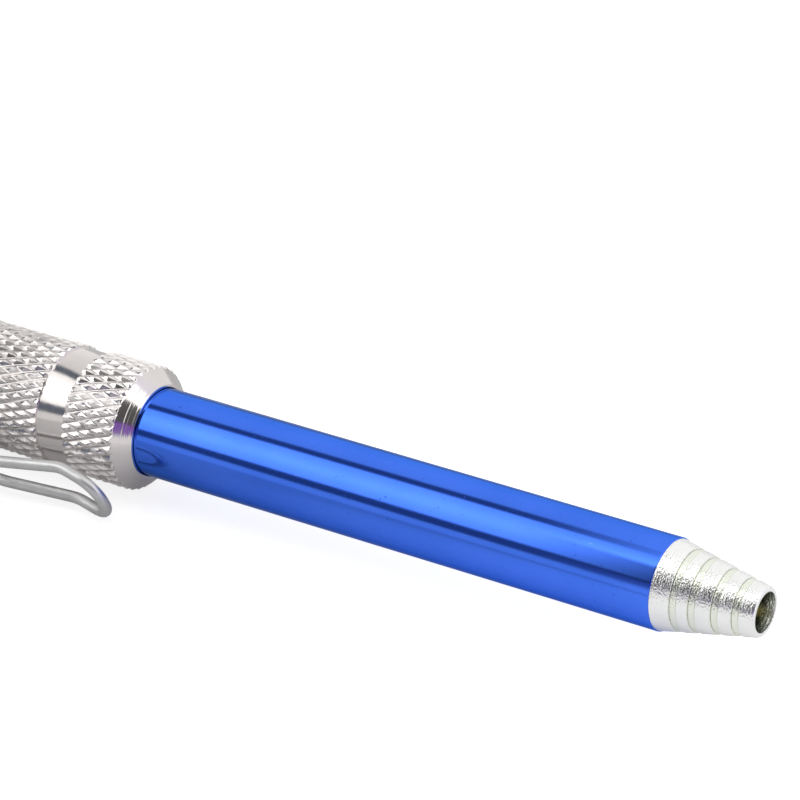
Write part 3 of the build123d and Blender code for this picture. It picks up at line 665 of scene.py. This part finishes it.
def make_nose():
    """The nose: a tapered cone with four uneven turned grooves and a rounded open mouth."""
    inner = nose_base_radius - nose_wall
    shoulder = nose_base_x + nose_shoulder
    outline = [(0, nose_mouth_radius + mouth_break), (0, nose_tip_radius - tip_face)]
    outline += [(-tip_edge, nose_tip_radius - tip_edge), (-tip_end, taper(-tip_end))]
    for centre in groove_centres:
        front, rear = centre + groove_width / 2, centre - groove_width / 2
        for x, notch, depth in (
            (front, 0, 0),
            (front - notch_middle, groove_notch, groove_depth),
            (front - notch_width, 0, groove_depth),
            (rear + notch_width, 0, groove_depth),
            (rear + notch_middle, groove_notch, groove_depth),
            (rear, 0, 0),
        ):
            outline.append((x, taper(x) - notch - depth))
    outline += [(shoulder, taper(shoulder)), (nose_base_x, nose_base_radius)]
    outline += [(nose_base_x, nose_spigot_radius), (nose_rear, nose_spigot_radius)]
    outline += [(nose_rear, inner), (nose_base_x, inner), (-nose_land, nose_mouth_radius)]
    rounded = eased(outline, nose_rounding)

    def outer(x, radius):
        return radius > taper(x) - nose_wall / 2

    def relief(x, angle, radius):
        chatter = chatter_depth * ripple(angle, 1.0) * np.sin(x * 2.1 + 0.6 * np.sin(3 * angle))
        zone = (x > nose_base_x + chatter_rear) & (x < chatter_front)
        outside = outer(x, radius) & zone
        return np.where(outside, np.minimum(radius + chatter, taper(x)), radius)

    def groove(x, radius):
        marked = outer(x, radius) & (x < groove_mark_front)
        return np.where(marked, taper(x) - radius, 0.0)

    marks = {
        "groove": groove,
        "inside": lambda x, radius: np.where(outer(x, radius), 0.0, 1.0),
    }
    return turned("nose_shell", rounded, nose_columns, relief, marks=marks)


def make_tube():
    """The blue tube with its ends slightly broken."""
    bore = nose_spigot_radius
    rear, front = tube_low.x, tube_high.x
    outline = [(rear, bore), (rear, tube_radius), (front, tube_radius), (front, bore)]
    return turned("blue_tube", eased(outline, tube_rounding), tube_columns)


def make_spring():
    """The return spring: a round wire whose coils close up at both ends."""
    wire = spring_wire_radius
    start, end = spring_low.x + wire, spring_high.x - wire
    coil_radius = spring_high.z - wire
    count, sides = spring_steps * spring_turns, spring_sides
    points = []
    for i in range(count + 1):
        t = i / count
        turn = 2 * math.pi * spring_turns * t
        advance = t - spring_closing * math.sin(2 * math.pi * t)
        along = Vector((start + (end - start) * advance, 0, 0))
        outwards = Vector((0, math.cos(turn), math.sin(turn)))
        for k in range(sides):
            a = 2 * math.pi * k / sides
            sideways = Vector((wire * math.sin(a), 0, 0))
            points.append((along + outwards * (coil_radius + wire * math.cos(a)) + sideways) * MM)
    faces = [tuple(range(sides)), tuple(range(count * sides, (count + 1) * sides))]
    for i in range(count):
        row = [i * sides + k for k in range(sides)]
        faces += [(row[k], row[k - 1], row[k - 1] + sides, row[k] + sides) for k in range(sides)]
    mesh = bpy.data.meshes.new("return_spring")
    mesh.from_pydata(points, [], faces)
    return linked("return_spring", mesh)


dress(make_nose(), "sleeve", "nose_cone")
dress(make_tube(), "sleeve", "outer_tube")

spring = make_spring()
dress(spring, "body", "sleeve_spring")
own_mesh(spring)

# ---- Studio ----

# Brightness or colour of the soft light round the pen, by degrees from +Y over the top to -Y. The
# tube's and barrel's long sides mirror rear_light, the tapered nose nose_light, and the bevel
# front_light and violet_light. The bevel's tool lines catch tip_light from straight ahead. In zones
# each light takes over from the one before it where the direction's X rises between two values.
flag, panel = (0.13, 0.15, 0.19), 1.4
rear_light = [(0, 1.0), (40, 0.95), (69, 0.88), (76, flag), (85, flag), (91, panel), (119, 1.85)]
rear_light += [(146, panel), (152, flag), (164, flag), (169, 0.8), (180, 0.8)]
nose_light = [(0, 0.95), (60, 1.0), (88, 1.2), (108, 1.8), (118, 0.2), (150, 0.06)]
nose_light += [(158, (0.3, 0.27, 0.36)), (174, 0.9), (180, 0.9)]
lavender, white_patch = (0.92, 0.90, 1.04), 2.0
front_top = [(0, lavender), (58, lavender), (66, white_patch), (92, white_patch)]
front_top += [(97, 0.12), (146, 0.1)]
front_light = front_top + [(150, (0.26, 0.20, 0.36)), (170, (0.28, 0.24, 0.38))]
front_light += [(178, (0.66, 0.64, 0.76))]
violet = (0.24, 0.08, 0.55)
violet_light = front_top + [(150, violet), (170, violet), (178, (0.62, 0.60, 0.74))]
tip_light = [(0, 1.3), (90, 1.7), (146, 1.6), (151, (0.32, 0.14, 0.62)), (170, (0.5, 0.4, 0.7))]
tip_light += [(180, 1.0)]
zones = [(nose_light, -0.36, -0.22), (front_light, 0.42, 0.55), (violet_light, 0.72, 0.79)]
zones += [(tip_light, 0.88, 0.95)]


def light_bands(tree, angle, bands):
    """A colour ramp round the pen: (degrees, brightness or colour) from +Y over the top to -Y."""
    ramp = node(tree, "ShaderNodeValToRGB", {"Fac": angle})
    ramp.color_ramp.interpolation = "EASE"
    for k, (degrees, light) in enumerate(bands):
        colour = light if isinstance(light, tuple) else (light, light, light)
        stops = ramp.color_ramp.elements
        stop = stops[k] if k < 2 else stops.new(1.0)
        stop.position = degrees / 180
        stop.color = (*(c / brightest for c in colour), 1.0)
    return ramp.outputs["Color"]


def make_studio():
    """Soft light from all round, in the bands and zones above, and plain white to the camera."""
    world = bpy.data.worlds.new("studio")
    bpy.context.scene.world = world
    world.use_nodes = True
    tree = world.node_tree
    direction = node(tree, "ShaderNodeTexCoord").outputs["Generated"]
    parts = node(tree, "ShaderNodeSeparateXYZ", {"Vector": direction})
    inputs = {0: parts.outputs["Z"], 1: parts.outputs["Y"]}
    turn = node(tree, "ShaderNodeMath", inputs, operation="ARCTAN2").outputs[0]
    angle = node(tree, "ShaderNodeMath", {0: turn, 1: math.pi}, operation="DIVIDE").outputs[0]
    bands = light_bands(tree, angle, rear_light)
    for light, low, high in zones:
        inputs = {"Value": parts.outputs["X"], "From Min": low, "From Max": high}
        side = node(tree, "ShaderNodeMapRange", inputs).outputs["Result"]
        inputs = {0: side, 6: bands, 7: light_bands(tree, angle, light)}
        bands = node(tree, "ShaderNodeMix", inputs, data_type="RGBA").outputs[2]
    lit = node(tree, "ShaderNodeBackground", {"Color": bands, "Strength": brightest}).outputs[0]
    pale = node(tree, "ShaderNodeBackground", {"Color": (1.0, 1.0, 1.0, 1.0)}).outputs[0]
    seen = node(tree, "ShaderNodeLightPath").outputs["Is Camera Ray"]
    chosen = node(tree, "ShaderNodeMixShader", {0: seen, 1: lit, 2: pale}).outputs[0]
    tree.links.new(chosen, tree.nodes["World Output"].inputs["Surface"])


def make_floor():
    """A plain pale floor that the pen lies on, mirrored darker towards the pen's rear."""
    half = floor_half
    square = ((-half, -half), (half, -half), (half, half), (-half, half))
    corners = [Vector((x, y, floor_z - floor_gap)) * MM for x, y in square]
    mesh = bpy.data.meshes.new("floor")
    mesh.from_pydata(corners, [], [(0, 1, 2, 3)])
    floor = linked("floor", mesh)
    look = Look("floor")
    along = node(look.tree, "ShaderNodeSeparateXYZ", {"Vector": look.place}).outputs["X"]
    fade = look.spread(along, *(x * MM for x in floor_fade))
    uneven = look.spread(look.noise(0.002, detail=2), 0.3, 0.7, -0.02, 0.02)
    grey, pale = shade((0.40, 0.40, 0.40)), shade((0.76, 0.76, 0.76))
    paper = look.mix(look.combine("ADD", fade, uneven), grey, pale)
    look.paint(paper, look.spread(look.noise(0.05), 0.3, 0.7, 0.85, 0.95))
    seen = node(look.tree, "ShaderNodeLightPath").outputs["Is Camera Ray"]
    look.shader.inputs["Emission Color"].default_value = (1, 1, 1, 1)
    glow = look.spread(seen, 0.0, 1.0, 0.15, 0.8)
    look.tree.links.new(glow, look.shader.inputs["Emission Strength"])
    floor.data.materials.append(look.material)


def make_camera():
    """The camera, set by its place and where it points."""
    camera = bpy.data.objects.new("camera", bpy.data.cameras.new("camera"))
    bpy.context.scene.collection.objects.link(camera)
    camera.data.lens, camera.data.sensor_width = camera_lens, sensor_width
    camera.data.clip_start, camera.data.clip_end = 0.01, 20.0
    aim = Matrix.Rotation(math.radians(camera_azimuth), 4, "Z")
    aim @= Matrix.Rotation(math.radians(90 - camera_elevation), 4, "X")
    aim @= Matrix.Rotation(math.radians(camera_roll), 4, "Z")
    camera.matrix_world = Matrix.Translation(Vector(camera_place) * MM) @ aim
    bpy.context.scene.camera = camera


make_studio()
make_floor()
make_camera()
bpy.context.scene.view_settings.view_transform = "Standard"
